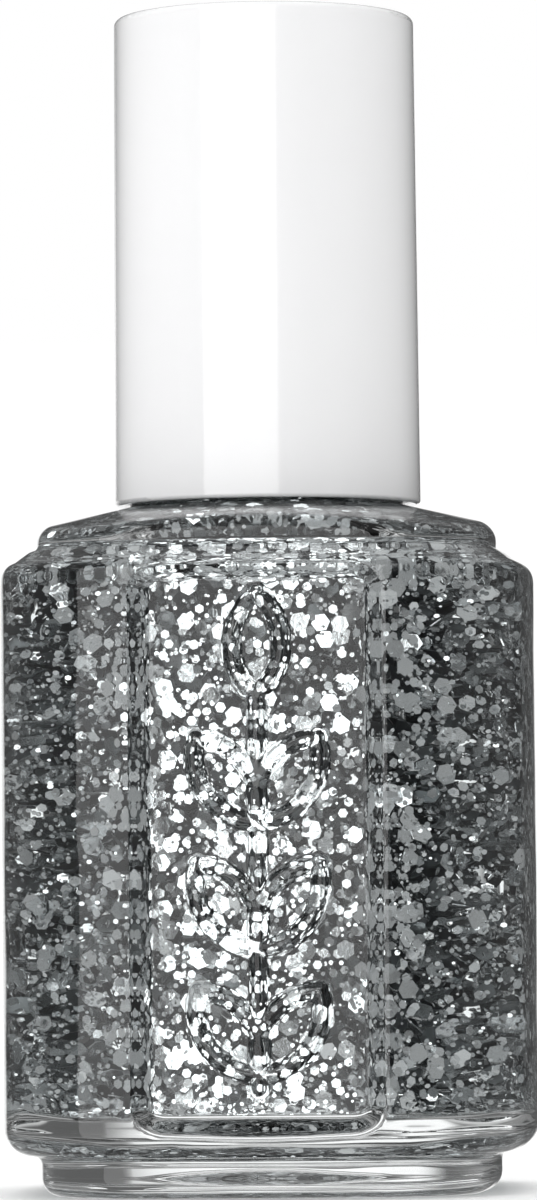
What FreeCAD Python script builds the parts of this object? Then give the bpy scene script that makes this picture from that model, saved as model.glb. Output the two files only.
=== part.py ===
import FreeCAD, Part
import math
import os

# A nail polish bottle: a thick glass bottle with a threaded neck, filled with
# lacquer, closed by a two-piece screw cap that carries the brush.
# Millimetres. The origin is the centre of the underside, +Z runs up the
# bottle's axis, and the front face with its sunk panel looks along -Y.

Vec = FreeCAD.Vector
UP = Vec(0, 0, 1)
ORIGIN = Vec(0, 0, 0)
PAST = 1.0                  # how far cutters, and solids that are joined, run past each other

# ---- glass body -------------------------------------------------------------
BODY_HALF = 15.9            # half the width over two opposite faces
FACE_RADIUS = 60.0          # each face bulges gently, on this radius
BODY_CORNER = 7.5           # upright corners of the body
CORNER_SHRINK = 0.565       # how much a corner tightens for each mm of inset
BODY_BOTTOM_Z = 2.4         # underside of the body, over the base tier
BODY_SLOPE_Z = 36.8         # where the shoulder slope starts
BODY_TOP_Z = 37.9           # where the slope meets the top tier
SLOPE_HALF = 14.2           # half width at the top of the slope
BODY_BOTTOM_ROUND = 1.6
BODY_TOP_ROUND = 1.5

TIER_HALF = 13.7            # half width of the base tier and the top tier
TIER_CORNER = BODY_CORNER - (BODY_HALF - TIER_HALF) * CORNER_SHRINK
BASE_ROUND = 1.1            # lower edge of the base tier
TOP_TIER_Z = 41.5           # the top tier is cut down to the dome below
TOP_TIER_ROUND = 0.9
DOME_RIM_RADIUS = 19.5      # the dome is a cone from here up to the neck
DOME_RIM_Z = 38.2
DOME_NECK_RADIUS = 8.4
DOME_NECK_Z = 40.85

PUSH_UP_RADIUS = 11.2       # shallow round hollow under the base
PUSH_UP_DEPTH = 1.8

# ---- sunk panel and its ornament, on the front and the back -------------------
PANEL_FLAT_WIDTH = 12.7
PANEL_SIDE_BEVEL = 1.5      # the bevel round the panel, seen from the front
PANEL_END_BEVEL = 1.1
PANEL_LOW_Z = 4.7
PANEL_HIGH_Z = 36.0
PANEL_DEPTH = 1.3           # below the crown of the face
PANEL_CUT_PAST = 0.3        # how far the panel's cutter reaches out of the face
SPRIG_STEM_WIDTH = 0.7      # a stem with leaves, raised from the panel
SPRIG_LOW_Z = 6.4
SPRIG_LEAF_PAIRS = 3
SPRIG_FIRST_PAIR_Z = 7.2
SPRIG_PAIR_STEP = 7.3
LEAF_LENGTH = 6.0
LEAF_WIDTH = 2.9
LEAF_TILT = 36.0            # degrees from upright
SPRIG_HEIGHT = 0.5          # how far the sprig stands out of the panel
SPRIG_BURY = 0.2            # and how far it goes into the panel
SPRIG_STEM_OVERLAP = 0.5    # how far the stem runs into the leaf at its tip

# ---- inside of the glass ------------------------------------------------------
CAVITY_HALF = 12.7
CAVITY_FACE_RADIUS = 50.0
CAVITY_CORNER = 8.2
CAVITY_FLOOR_Z = 4.4
CAVITY_ROOF_Z = 38.4
CAVITY_FLOOR_ROUND = 2.4
CAVITY_ROOF_ROUND = 1.8
FUNNEL_RADIUS = 10.6        # the roof runs up into the neck from here
FUNNEL_HIGH_Z = 41.2
NECK_BORE = 4.2             # radius
FILL_LEVEL_Z = 42.0

# ---- neck finish and its thread -----------------------------------------------
NECK_BEAD_RADIUS = 7.7
NECK_BEAD_LOW_Z = 40.0
NECK_BEAD_HIGH_Z = 41.6
NECK_BEAD_ROUND = 0.35
NECK_RADIUS = 6.65          # thread root
NECK_LIP_Z = 51.5
NECK_LIP_ROUND = 0.5
THREAD_PITCH = 2.117        # twelve threads to the inch
THREAD_DEPTH = 0.52
THREAD_ROOT_WIDTH = 1.15
THREAD_CREST_WIDTH = 0.45
THREAD_BURY = 0.12          # how deep the ridge sits in its wall
NECK_THREAD_LOW_Z = 43.6
NECK_THREAD_TURNS = 2.0

# ---- inner cap, liner and outer cap ---------------------------------------------
INNER_CAP_LOW_Z = 42.0
INNER_CAP_TOP_Z = 53.6
INNER_CAP_RADIUS = 7.95
INNER_CAP_ROOT = 7.36       # radius of the wall that carries the thread
INNER_CAP_CEILING_Z = 52.5
INNER_CAP_ROUND = 0.3
INNER_CAP_FLUTES = 24
FLUTE_RADIUS = 0.28
FLUTE_STOP = 1.0            # the flutes end this far under the top
CAP_THREAD_TURNS = 1.5

LINER_RADIUS = 7.0
LINER_HOLE = 2.0
LINER_SPLIT_Z = 51.65       # film below, foam above

CAP_LOW_Z = 40.95
CAP_TOP_Z = 70.3
CAP_LOW_RADIUS = 9.18
CAP_TOP_RADIUS = 9.0
CAP_WALL = 1.0
CAP_TOP_THICKNESS = 1.5
CAP_TOP_ROUND = 0.45
CAP_RIM_ROUND = 0.25
GRIP_RIBS = 12              # ribs that hold the inner cap
GRIP_RIB_WIDTH = 0.7
GRIP_RIB_START = 7.45       # radius where the ribs' bars start, inside the inner cap
STOP_FINS = 6               # fins that stand on the inner cap's top
STOP_FIN_WIDTH = 0.8
STOP_FIN_INNER = 5.4

# ---- brush ------------------------------------------------------------------------
STEM_RADIUS = 1.6
STEM_LOW_Z = 17.0
STEM_BARB_RADIUS = 1.85
STEM_BARB_HEIGHT = 0.6
STEM_HEAD_RADIUS = 3.0
STEM_HEAD_HEIGHT = 1.0
STEM_FOOT_TAPER = 0.15      # the foot narrows by this radius
STEM_FOOT_HEIGHT = 0.5
SOCKET_RADIUS = 1.15
SOCKET_TOP_Z = 21.0
BRISTLE_RADIUS = 1.75       # widest place of the tuft
BRISTLE_WIDE_Z = 9.6
BRISTLE_TIP_Z = 6.5
BRISTLE_SHOULDERS = ((0.9, 1.6), (0.5, 0.4))    # share of the widest radius, height over the tip
STAPLE_SIZE = (2.9, 0.35, 1.2)
STAPLE_LOW_Z = 19.3
BRUSH_CHANNEL = 2.5         # radius of the space the brush stands in
BRUSH_CHANNEL_FLOOR_Z = 6.0

# ---- small pieces ------------------------------------------------------------------
BALL_RADIUS = 1.6
BALL_CLEARANCE = 0.05
BALL_PLACES = {"mixing_ball_front": (5.2, -4.2), "mixing_ball_back": (-4.6, 4.4)}


def plan_face(half, face_radius, corner, z):
    """A square with bulged sides and tangent round corners, at height z."""
    face_centre = face_radius - half
    k = (math.sqrt(2 * (face_radius - corner) ** 2 - face_centre ** 2) - face_centre) / 2
    reach = face_radius / (face_radius - corner)
    along, across = (k + face_centre) * reach - face_centre, k * reach
    diagonal = k + corner / math.sqrt(2)
    side = Part.Arc(Vec(along, -across, z), Vec(half, 0, z), Vec(along, across, z))
    turn = Part.Arc(Vec(along, across, z), Vec(diagonal, diagonal, z), Vec(across, along, z))
    edges = []
    for quarter in range(4):
        for arc in (side, turn):
            edge = arc.toShape()
            edge.rotate(ORIGIN, UP, 90 * quarter)
            edges.append(edge)
    return Part.Face(Part.Wire(edges))


def prism(half, face_radius, corner, low_z, high_z):
    return plan_face(half, face_radius, corner, low_z).extrude(Vec(0, 0, high_z - low_z))


def edges_at(shape, z):
    """The edges that lie wholly at height z."""
    found = []
    for edge in shape.Edges:
        box = edge.BoundBox
        if abs(box.ZMin - z) < 1e-4 and abs(box.ZMax - z) < 1e-4:
            found.append(edge)
    return found


def round_edges(shape, z, radius):
    return shape.makeFillet(radius, edges_at(shape, z))


def cylinder(radius, low_z, high_z, x=0.0, y=0.0):
    return Part.makeCylinder(radius, high_z - low_z, Vec(x, y, low_z))


def revolve(points):
    """A solid turned about the axis from a closed outline of (radius, z) points."""
    corners = [Vec(r, 0, z) for r, z in points]
    return Part.Face(Part.makePolygon(corners + corners[:1])).revolve(ORIGIN, UP, 360)


# ---- glass bottle -------------------------------------------------------------------

def glass_body():
    """The body: upright walls, a rounded foot and a sloped shoulder."""
    foot = prism(BODY_HALF, FACE_RADIUS, BODY_CORNER, BODY_BOTTOM_Z, BODY_SLOPE_Z)
    foot = round_edges(foot, BODY_BOTTOM_Z, BODY_BOTTOM_ROUND)
    low = plan_face(BODY_HALF, FACE_RADIUS, BODY_CORNER, BODY_SLOPE_Z).OuterWire
    slope_corner = BODY_CORNER - (BODY_HALF - SLOPE_HALF) * CORNER_SHRINK
    high = plan_face(SLOPE_HALF, FACE_RADIUS, slope_corner, BODY_TOP_Z).OuterWire
    slope = Part.makeLoft([low, high], True, True)
    body = foot.fuse(slope).removeSplitter()
    return round_edges(body, BODY_SLOPE_Z, BODY_TOP_ROUND)


def glass_tiers():
    """The base tier, and the top tier under its shallow dome."""
    base = prism(TIER_HALF, FACE_RADIUS, TIER_CORNER, 0, BODY_BOTTOM_Z + PAST)
    base = round_edges(base, 0, BASE_ROUND)
    top = prism(TIER_HALF, FACE_RADIUS, TIER_CORNER, BODY_TOP_Z - PAST, TOP_TIER_Z)
    low_z = BODY_TOP_Z - 2 * PAST
    dome = revolve([
        (0, low_z), (DOME_RIM_RADIUS, low_z), (DOME_RIM_RADIUS, DOME_RIM_Z),
        (DOME_NECK_RADIUS, DOME_NECK_Z), (0, DOME_NECK_Z),
    ])
    top = top.common(dome)
    rim = []
    for edge in top.Edges:
        middle = edge.CenterOfMass
        if edge.BoundBox.ZMin > BODY_TOP_Z and math.hypot(middle.x, middle.y) > TIER_HALF - PAST:
            rim.append(edge)
    return base, top.makeFillet(TOP_TIER_ROUND, rim)


def neck():
    """The neck: a bead at its foot, a plain wall and a rounded lip."""
    bead = cylinder(NECK_BEAD_RADIUS, NECK_BEAD_LOW_Z, NECK_BEAD_HIGH_Z)
    bead = round_edges(bead, NECK_BEAD_HIGH_Z, NECK_BEAD_ROUND)
    wall = cylinder(NECK_RADIUS, NECK_BEAD_LOW_Z, NECK_LIP_Z)
    return bead, round_edges(wall, NECK_LIP_Z, NECK_LIP_ROUND)


def thread(wall_radius, outward, low_z, turns):
    """A helical ridge on a round wall, standing outward or inward."""
    sign = 1 if outward else -1
    bury = wall_radius - sign * THREAD_BURY
    crest = wall_radius + sign * THREAD_DEPTH
    half_root, half_crest = THREAD_ROOT_WIDTH / 2, THREAD_CREST_WIDTH / 2
    outline = [Vec(bury, 0, -half_root), Vec(crest, 0, -half_crest),
               Vec(crest, 0, half_crest), Vec(bury, 0, half_root)]
    section = Part.makePolygon(outline + outline[:1])
    path = Part.Wire(Part.makeHelix(THREAD_PITCH, THREAD_PITCH * turns, wall_radius))
    ridge = path.makePipeShell([section], True, True)
    ridge.translate(Vec(0, 0, low_z))
    return ridge


def panel_pocket():
    """The space cut from the front face: a flat panel inside a bevel."""
    flat_y = -(BODY_HALF - PANEL_DEPTH)
    reach = PANEL_DEPTH + PANEL_CUT_PAST
    outlines = []
    for out in (0, reach):
        half = PANEL_FLAT_WIDTH / 2 + PANEL_SIDE_BEVEL * out / PANEL_DEPTH
        extra = PANEL_END_BEVEL * out / PANEL_DEPTH
        low_z, high_z = PANEL_LOW_Z - extra, PANEL_HIGH_Z + extra
        y = flat_y - out
        corners = [Vec(-half, y, low_z), Vec(half, y, low_z), Vec(half, y, high_z), Vec(-half, y, high_z)]
        outlines.append(Part.makePolygon(corners + corners[:1]))
    return Part.makeLoft(outlines, True, True)


def leaf(x, z, tilt):
    """A pointed leaf pad that grows from (x, z), leaning by tilt degrees."""
    half, bow = LEAF_LENGTH / 2, LEAF_WIDTH / 2
    points = [Vec(0, 0, 0), Vec(bow, 0, half), Vec(0, 0, 2 * half), Vec(-bow, 0, half)]
    right = Part.Arc(points[0], points[1], points[2]).toShape()
    left = Part.Arc(points[2], points[3], points[0]).toShape()
    pad = Part.Face(Part.Wire([right, left])).extrude(Vec(0, -(SPRIG_HEIGHT + SPRIG_BURY), 0))
    pad.rotate(ORIGIN, Vec(0, 1, 0), tilt)
    pad.translate(Vec(x, PANEL_DEPTH - BODY_HALF + SPRIG_BURY, z))
    return pad


def sprig():
    """The raised ornament: an upright stem, leaves in pairs and one at the tip."""
    tip_z = SPRIG_FIRST_PAIR_Z + SPRIG_LEAF_PAIRS * SPRIG_PAIR_STEP
    length = tip_z + SPRIG_STEM_OVERLAP - SPRIG_LOW_Z
    stem = Part.makeBox(SPRIG_STEM_WIDTH, SPRIG_HEIGHT + SPRIG_BURY, length)
    panel_y = PANEL_DEPTH - BODY_HALF
    stem.translate(Vec(-SPRIG_STEM_WIDTH / 2, panel_y - SPRIG_HEIGHT, SPRIG_LOW_Z))
    pieces = [leaf(0, tip_z, 0)]
    for pair in range(SPRIG_LEAF_PAIRS):
        z = SPRIG_FIRST_PAIR_Z + pair * SPRIG_PAIR_STEP
        pieces += [leaf(0, z, LEAF_TILT), leaf(0, z, -LEAF_TILT)]
    return stem.multiFuse(pieces)


def half_turn(shape):
    other = shape.copy()
    other.rotate(ORIGIN, UP, 180)
    return other


def cavity():
    """The inside of the bottle, from its floor up through the neck."""
    room = prism(CAVITY_HALF, CAVITY_FACE_RADIUS, CAVITY_CORNER, CAVITY_FLOOR_Z, CAVITY_ROOF_Z)
    room = round_edges(room, CAVITY_FLOOR_Z, CAVITY_FLOOR_ROUND)
    room = round_edges(room, CAVITY_ROOF_Z, CAVITY_ROOF_ROUND)
    passage = revolve([
        (0, CAVITY_ROOF_Z - PAST), (FUNNEL_RADIUS, CAVITY_ROOF_Z - PAST), (FUNNEL_RADIUS, CAVITY_ROOF_Z),
        (NECK_BORE, FUNNEL_HIGH_Z), (NECK_BORE, NECK_LIP_Z + PAST), (0, NECK_LIP_Z + PAST),
    ])
    return room.fuse(passage)


def glass_bottle():
    base, top = glass_tiers()
    bead, wall = neck()
    ridge = thread(NECK_RADIUS, True, NECK_THREAD_LOW_Z, NECK_THREAD_TURNS)
    outside = glass_body().multiFuse([base, top, bead])
    pocket = panel_pocket()
    outside = outside.cut(pocket).cut(half_turn(pocket))
    ornament = sprig()
    outside = outside.multiFuse([ornament, half_turn(ornament), wall, ridge])
    sphere_radius = (PUSH_UP_RADIUS ** 2 + PUSH_UP_DEPTH ** 2) / (2 * PUSH_UP_DEPTH)
    push_up = Part.makeSphere(sphere_radius, Vec(0, 0, PUSH_UP_DEPTH - sphere_radius))
    return outside.cut(push_up).cut(cavity())


def polish_fill():
    """The lacquer, with clear space for the brush and the mixing balls."""
    above = cylinder(CAVITY_HALF, FILL_LEVEL_Z, NECK_LIP_Z + 2 * PAST)
    fill = cavity().cut(above)
    fill = fill.cut(cylinder(BRUSH_CHANNEL, BRUSH_CHANNEL_FLOOR_Z, FILL_LEVEL_Z + PAST))
    for x, y in BALL_PLACES.values():
        centre = Vec(x, y, CAVITY_FLOOR_Z + BALL_RADIUS)
        fill = fill.cut(Part.makeSphere(BALL_RADIUS + BALL_CLEARANCE, centre))
    return fill


def mixing_ball(x, y):
    return Part.makeSphere(BALL_RADIUS, Vec(x, y, CAVITY_FLOOR_Z + BALL_RADIUS))


# ---- cap -----------------------------------------------------------------------------

def inner_cap():
    """The threaded inner cap, fluted outside, with a hole for the stem."""
    cup = cylinder(INNER_CAP_RADIUS, INNER_CAP_LOW_Z, INNER_CAP_TOP_Z)
    cup = round_edges(cup, INNER_CAP_TOP_Z, INNER_CAP_ROUND)
    cup = cup.cut(cylinder(INNER_CAP_ROOT, INNER_CAP_LOW_Z - PAST, INNER_CAP_CEILING_Z))
    cup = cup.cut(cylinder(STEM_RADIUS, INNER_CAP_CEILING_Z - PAST, INNER_CAP_TOP_Z + PAST))
    flutes = []
    for i in range(INNER_CAP_FLUTES):
        angle = 2 * math.pi * (i + 0.5) / INNER_CAP_FLUTES
        x, y = INNER_CAP_RADIUS * math.cos(angle), INNER_CAP_RADIUS * math.sin(angle)
        flutes.append(cylinder(FLUTE_RADIUS, INNER_CAP_LOW_Z - PAST, INNER_CAP_TOP_Z - FLUTE_STOP, x, y))
    cup = cup.cut(flutes)
    low_z = NECK_THREAD_LOW_Z - THREAD_PITCH / 2
    return cup.fuse(thread(INNER_CAP_ROOT, False, low_z, CAP_THREAD_TURNS))


def liner_ring(low_z, high_z):
    return cylinder(LINER_RADIUS, low_z, high_z).cut(cylinder(LINER_HOLE, low_z - PAST, high_z + PAST))


def cap_shell():
    """The smooth outer shell, slightly narrower at the top."""
    height = CAP_TOP_Z - CAP_LOW_Z
    shell = Part.makeCone(CAP_LOW_RADIUS, CAP_TOP_RADIUS, height, Vec(0, 0, CAP_LOW_Z))
    shell = round_edges(shell, CAP_TOP_Z, CAP_TOP_ROUND)
    room = Part.makeCone(CAP_LOW_RADIUS - CAP_WALL, CAP_TOP_RADIUS - CAP_WALL, height,
                         Vec(0, 0, CAP_LOW_Z))
    ceiling = cylinder(CAP_LOW_RADIUS + PAST, CAP_TOP_Z - CAP_TOP_THICKNESS, CAP_TOP_Z + PAST)
    shell = shell.cut(room.cut(ceiling))
    return round_edges(shell, CAP_LOW_Z, CAP_RIM_ROUND)


def radial_bar(inner, outer, width, low_z, high_z, angle):
    bar = Part.makeBox(outer - inner, width, high_z - low_z, Vec(inner, -width / 2, low_z))
    bar.rotate(ORIGIN, UP, angle)
    return bar


def outer_cap():
    """The shell with its ribs round the inner cap and the fins above it."""
    outer = CAP_TOP_RADIUS - CAP_WALL / 2
    grips = []
    for i in range(GRIP_RIBS):
        grips.append(radial_bar(GRIP_RIB_START, outer, GRIP_RIB_WIDTH,
                                INNER_CAP_LOW_Z, INNER_CAP_TOP_Z, 360 * i / GRIP_RIBS))
    hold = cylinder(INNER_CAP_RADIUS, INNER_CAP_LOW_Z - PAST, INNER_CAP_TOP_Z)
    fins = []
    for i in range(STOP_FINS):
        fins.append(radial_bar(STOP_FIN_INNER, outer, STOP_FIN_WIDTH, INNER_CAP_TOP_Z,
                               CAP_TOP_Z - CAP_TOP_THICKNESS / 2, 360 * i / STOP_FINS))
    return cap_shell().multiFuse([grip.cut(hold) for grip in grips] + fins).removeSplitter()


# ---- brush ---------------------------------------------------------------------------

def staple():
    length, width, height = STAPLE_SIZE
    return Part.makeBox(length, width, height, Vec(-length / 2, -width / 2, STAPLE_LOW_Z))


def brush_stem():
    """The rod: a head over the inner cap, a barb under it, a socket at the foot."""
    head_z = INNER_CAP_TOP_Z + STEM_HEAD_HEIGHT
    barb_z = INNER_CAP_CEILING_Z - STEM_BARB_HEIGHT
    rod = revolve([
        (0, STEM_LOW_Z), (STEM_RADIUS - STEM_FOOT_TAPER, STEM_LOW_Z),
        (STEM_RADIUS, STEM_LOW_Z + STEM_FOOT_HEIGHT),
        (STEM_RADIUS, barb_z), (STEM_BARB_RADIUS, INNER_CAP_CEILING_Z),
        (STEM_RADIUS, INNER_CAP_CEILING_Z), (STEM_RADIUS, INNER_CAP_TOP_Z),
        (STEM_HEAD_RADIUS, INNER_CAP_TOP_Z), (STEM_HEAD_RADIUS, head_z), (0, head_z),
    ])
    return rod.cut(cylinder(SOCKET_RADIUS, STEM_LOW_Z - PAST, SOCKET_TOP_Z)).cut(staple())


def bristle_tuft():
    """The bristles as one bundle: straight in the socket, fuller at the tip."""
    outline = [(0, SOCKET_TOP_Z), (SOCKET_RADIUS, SOCKET_TOP_Z), (SOCKET_RADIUS, STEM_LOW_Z),
               (BRISTLE_RADIUS, BRISTLE_WIDE_Z)]
    for share, height in BRISTLE_SHOULDERS:
        outline.append((share * BRISTLE_RADIUS, BRISTLE_TIP_Z + height))
    outline.append((0, BRISTLE_TIP_Z))
    return revolve(outline).cut(staple())


# ---- export --------------------------------------------------------------------------

def pieces():
    made = {
        "glass_bottle": glass_bottle(),
        "polish_fill": polish_fill(),
        "outer_cap": outer_cap(),
        "inner_cap": inner_cap(),
        "liner_film": liner_ring(NECK_LIP_Z, LINER_SPLIT_Z),
        "liner_foam": liner_ring(LINER_SPLIT_Z, INNER_CAP_CEILING_Z),
        "brush_stem": brush_stem(),
        "bristle_tuft": bristle_tuft(),
        "bristle_staple": staple(),
    }
    for name, (x, y) in BALL_PLACES.items():
        made[name] = mixing_ball(x, y)
    return made


def main():
    os.makedirs("parts", exist_ok=True)
    for name, shape in pieces().items():
        box = shape.BoundBox
        print(f"{name:20s} valid {shape.isValid()} solids {len(shape.Solids)} "
              f"volume {shape.Volume:9.2f} z {box.ZMin:7.3f} to {box.ZMax:7.3f} "
              f"x {box.XMin:7.3f} to {box.XMax:7.3f}")
        shape.exportStep(f"parts/{name}.step")


main()
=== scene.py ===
import math
import bpy
import numpy as np
from mathutils import Matrix, Vector


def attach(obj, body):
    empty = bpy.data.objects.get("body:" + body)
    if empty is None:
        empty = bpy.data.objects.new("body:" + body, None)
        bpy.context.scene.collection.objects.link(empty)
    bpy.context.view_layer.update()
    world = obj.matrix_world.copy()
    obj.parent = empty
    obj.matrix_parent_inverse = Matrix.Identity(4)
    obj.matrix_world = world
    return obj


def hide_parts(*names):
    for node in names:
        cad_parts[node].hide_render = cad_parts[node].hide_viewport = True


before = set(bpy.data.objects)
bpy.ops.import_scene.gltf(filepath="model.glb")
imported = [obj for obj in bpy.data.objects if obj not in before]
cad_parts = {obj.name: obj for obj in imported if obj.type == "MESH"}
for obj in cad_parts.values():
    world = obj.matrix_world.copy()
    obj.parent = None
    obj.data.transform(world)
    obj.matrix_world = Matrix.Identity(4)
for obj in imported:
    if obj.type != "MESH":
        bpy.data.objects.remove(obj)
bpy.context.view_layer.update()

# The nail polish bottle's looks. Shapes are worked out in millimetres, in the
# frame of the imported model, and turned into metres as each mesh is made.
MM = 0.001
rng = np.random.default_rng(20416)

# ---- glass body, as designed ---------------------------------------------------
BODY_HALF = 15.9
FACE_RADIUS = 60.0
BODY_CORNER = 7.5
CORNER_SHRINK = 0.565       # how much a corner tightens for each mm of inset
BODY_BOTTOM_Z, BODY_SLOPE_Z, BODY_TOP_Z = 2.4, 36.8, 37.9
BODY_BOTTOM_ROUND = 1.6
SLOPE_HALF = 14.2
TIER_HALF = 13.7
BASE_ROUND = 1.1
TOP_TIER_ROUND = 0.9
DOME_NECK_RADIUS, DOME_NECK_Z, DOME_SLOPE = 8.4, 40.85, 0.2387
PUSH_UP_RADIUS, PUSH_UP_DEPTH = 11.2, 1.8
PANEL_HALF, PANEL_LOW_Z, PANEL_HIGH_Z = 6.35, 4.7, 36.0
PANEL_DEPTH, PANEL_BEVEL, PANEL_END_BEVEL = 1.3, 1.5, 1.1
PANEL_CORNER = 0.9
PANEL_FOOT_BLEND, PANEL_RIM_BLEND = 0.18, 0.12      # how softly the bevel starts and ends
PANEL_REACH = 0.8           # how far past its bevel the sunk panel is looked for
CAVITY_HALF, CAVITY_FACE_RADIUS, CAVITY_CORNER = 12.7, 50.0, 8.2
CAVITY_FLOOR_Z, CAVITY_ROOF_Z = 4.4, 38.4
CAVITY_FLOOR_ROUND, CAVITY_ROOF_ROUND = 2.4, 1.8
FUNNEL_RADIUS, FUNNEL_HIGH_Z = 10.6, 41.2
NECK_BORE, FILL_LEVEL_Z = 4.2, 42.0
NECK_BEAD_RADIUS, NECK_BEAD_HIGH_Z = 7.7, 41.6
NECK_RADIUS, NECK_LIP_Z, NECK_LIP_ROUND = 6.65, 51.5, 0.5
THREAD_PITCH, THREAD_DEPTH, THREAD_LOW_Z, THREAD_TURNS = 2.117, 0.52, 43.6, 2.0
THREAD_HALF_WIDTH = 0.55

# ---- how finely the glass is divided -------------------------------------------
FRONT_STEPS, SIDE_STEPS, CORNER_STEPS = 120, 24, 16
PANEL_STEP = 0.18


# ==== plan loops and rings ==========================================================

def plan_loop(half, face_radius, corner):
    """Points round a square with bulged sides and round corners, from the middle of -X, -Y..."""
    centre = face_radius - half
    k = (math.sqrt(2 * (face_radius - corner) ** 2 - centre ** 2) - centre) / 2
    across = k * face_radius / (face_radius - corner)
    start = math.atan2(k, k + centre)
    points = []
    for quarter in range(4):
        steps = FRONT_STEPS if quarter % 2 == 0 else SIDE_STEPS
        turn = quarter * math.pi / 2
        x = np.linspace(-across, across, steps, endpoint=False)
        y = -(np.sqrt(face_radius ** 2 - x ** 2) - centre)
        angle = np.linspace(0, math.pi / 2 - 2 * start, CORNER_STEPS, endpoint=False)
        angle = -math.pi / 2 + start + angle
        x = np.concatenate([x, k + corner * np.cos(angle)])
        y = np.concatenate([y, -k + corner * np.sin(angle)])
        points.append(np.stack([x * math.cos(turn) - y * math.sin(turn),
                                x * math.sin(turn) + y * math.cos(turn)], axis=1))
    return np.concatenate(points)


BODY_LOOP = plan_loop(BODY_HALF, FACE_RADIUS, BODY_CORNER)
LOOP_ANGLE = np.arctan2(BODY_LOOP[:, 1], BODY_LOOP[:, 0])


def body_loop(half):
    return plan_loop(half, FACE_RADIUS, BODY_CORNER - (BODY_HALF - half) * CORNER_SHRINK)


def inner_loop(half):
    return plan_loop(half, CAVITY_FACE_RADIUS, CAVITY_CORNER - (CAVITY_HALF - half))


def circle(radius):
    return np.stack([np.cos(LOOP_ANGLE), np.sin(LOOP_ANGLE)], axis=1) * np.reshape(radius, (-1, 1))


def ring(loop, z):
    return np.column_stack([loop, np.broadcast_to(z, len(loop))])


def quarter_round(inset_from, z_from, inset_to, z_to, steps, bulge_first):
    """(inset, z) pairs along a quarter ellipse between two places."""
    pairs = []
    for t in np.linspace(0, math.pi / 2, steps + 1):
        a, b = math.sin(t), 1 - math.cos(t)
        u, v = (a, b) if bulge_first else (b, a)
        pairs.append((inset_from + (inset_to - inset_from) * u, z_from + (z_to - z_from) * v))
    return pairs


def stack_mesh(name, rings, materials, slot_of):
    """A closed mesh: a fan at each end and quads between the rings."""
    count = len(rings[0])
    low, high = rings[0].mean(axis=0), rings[-1].mean(axis=0)
    low[2], high[2] = rings[0][0, 2], rings[-1][0, 2]
    points = np.concatenate([[low], *rings, [high]]) * MM
    faces, face_slots = [], []
    around = np.arange(count)
    nxt = (around + 1) % count
    for j in around:
        faces.append((0, 1 + nxt[j], 1 + j))
    face_slots += [slot_of(0)] * count
    for i in range(len(rings) - 1):
        a, b = 1 + i * count, 1 + (i + 1) * count
        faces += list(zip(a + around, a + nxt, b + nxt, b + around))
        face_slots += [slot_of(i)] * count
    last = len(points) - 1
    a = 1 + (len(rings) - 1) * count
    for j in around:
        faces.append((last, a + j, a + nxt[j]))
    face_slots += [slot_of(len(rings) - 2)] * count
    return new_piece(name, points, faces, materials, face_slots)


def new_piece(name, points, faces, materials, face_slots=None, smooth=True):
    mesh = bpy.data.meshes.new(name)
    mesh.from_pydata([tuple(p) for p in points], [], [tuple(int(i) for i in f) for f in faces])
    for material in materials:
        mesh.materials.append(material)
    if face_slots is not None:
        mesh.polygons.foreach_set("material_index", np.array(face_slots, dtype=np.int32))
    mesh.polygons.foreach_set("use_smooth", np.full(len(mesh.polygons), smooth))
    mesh.update()
    piece = bpy.data.objects.new(name, mesh)
    bpy.context.scene.collection.objects.link(piece)
    return piece


# ==== the sunk panel and its sprig ===================================================

SPRIG_LOW_Z, SPRIG_FIRST_PAIR_Z, SPRIG_PAIR_STEP, SPRIG_LEAF_PAIRS = 6.4, 7.2, 7.3, 3
LEAF_LENGTH, LEAF_WIDTH, LEAF_TILT = 6.0, 2.9, math.radians(36)
BEAD_HALF_WIDTH, BEAD_HEIGHT = 0.45, 0.4


def smooth_max(a, b, blend):
    h = np.clip(0.5 + 0.5 * (a - b) / blend, 0, 1)
    return b + (a - b) * h + blend * h * (1 - h)


def bead(distance, half_width, height):
    return height * np.sqrt(np.clip(1 - (distance / half_width) ** 2, 0, None))


def leaf_distance(x, z, base_x, base_z, tilt):
    """Distance from the outline of a leaf that grows from (base_x, base_z)."""
    dx, dz = x - base_x, z - base_z
    along = dx * math.sin(tilt) + dz * math.cos(tilt)
    side = np.abs(dx * math.cos(tilt) - dz * math.sin(tilt))
    half, bow = LEAF_LENGTH / 2, LEAF_WIDTH / 2
    radius = (half * half + bow * bow) / (2 * bow)
    from_centre = np.hypot(along - half, side + radius - bow)
    edge = np.abs(from_centre - radius)
    outside = (along < 0) | (along > LEAF_LENGTH)
    ends = np.minimum(np.hypot(along, side), np.hypot(along - LEAF_LENGTH, side))
    return np.where(outside, ends, edge)


def sprig_relief(x, z):
    """How far the ornament stands out of the panel at (x, z)."""
    tip_z = SPRIG_FIRST_PAIR_Z + SPRIG_LEAF_PAIRS * SPRIG_PAIR_STEP
    beyond = np.clip(z - tip_z, 0, None) + np.clip(SPRIG_LOW_Z - z, 0, None)
    relief = bead(np.hypot(x, beyond), BEAD_HALF_WIDTH, BEAD_HEIGHT)
    leaves = [(0.0, tip_z, 0.0)]
    for pair in range(SPRIG_LEAF_PAIRS):
        z_pair = SPRIG_FIRST_PAIR_Z + pair * SPRIG_PAIR_STEP
        leaves += [(0.0, z_pair, LEAF_TILT), (0.0, z_pair, -LEAF_TILT)]
    for base_x, base_z, tilt in leaves:
        edge = leaf_distance(x, z, base_x, base_z, tilt)
        relief = np.maximum(relief, bead(edge, BEAD_HALF_WIDTH, BEAD_HEIGHT))
    return relief


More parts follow.
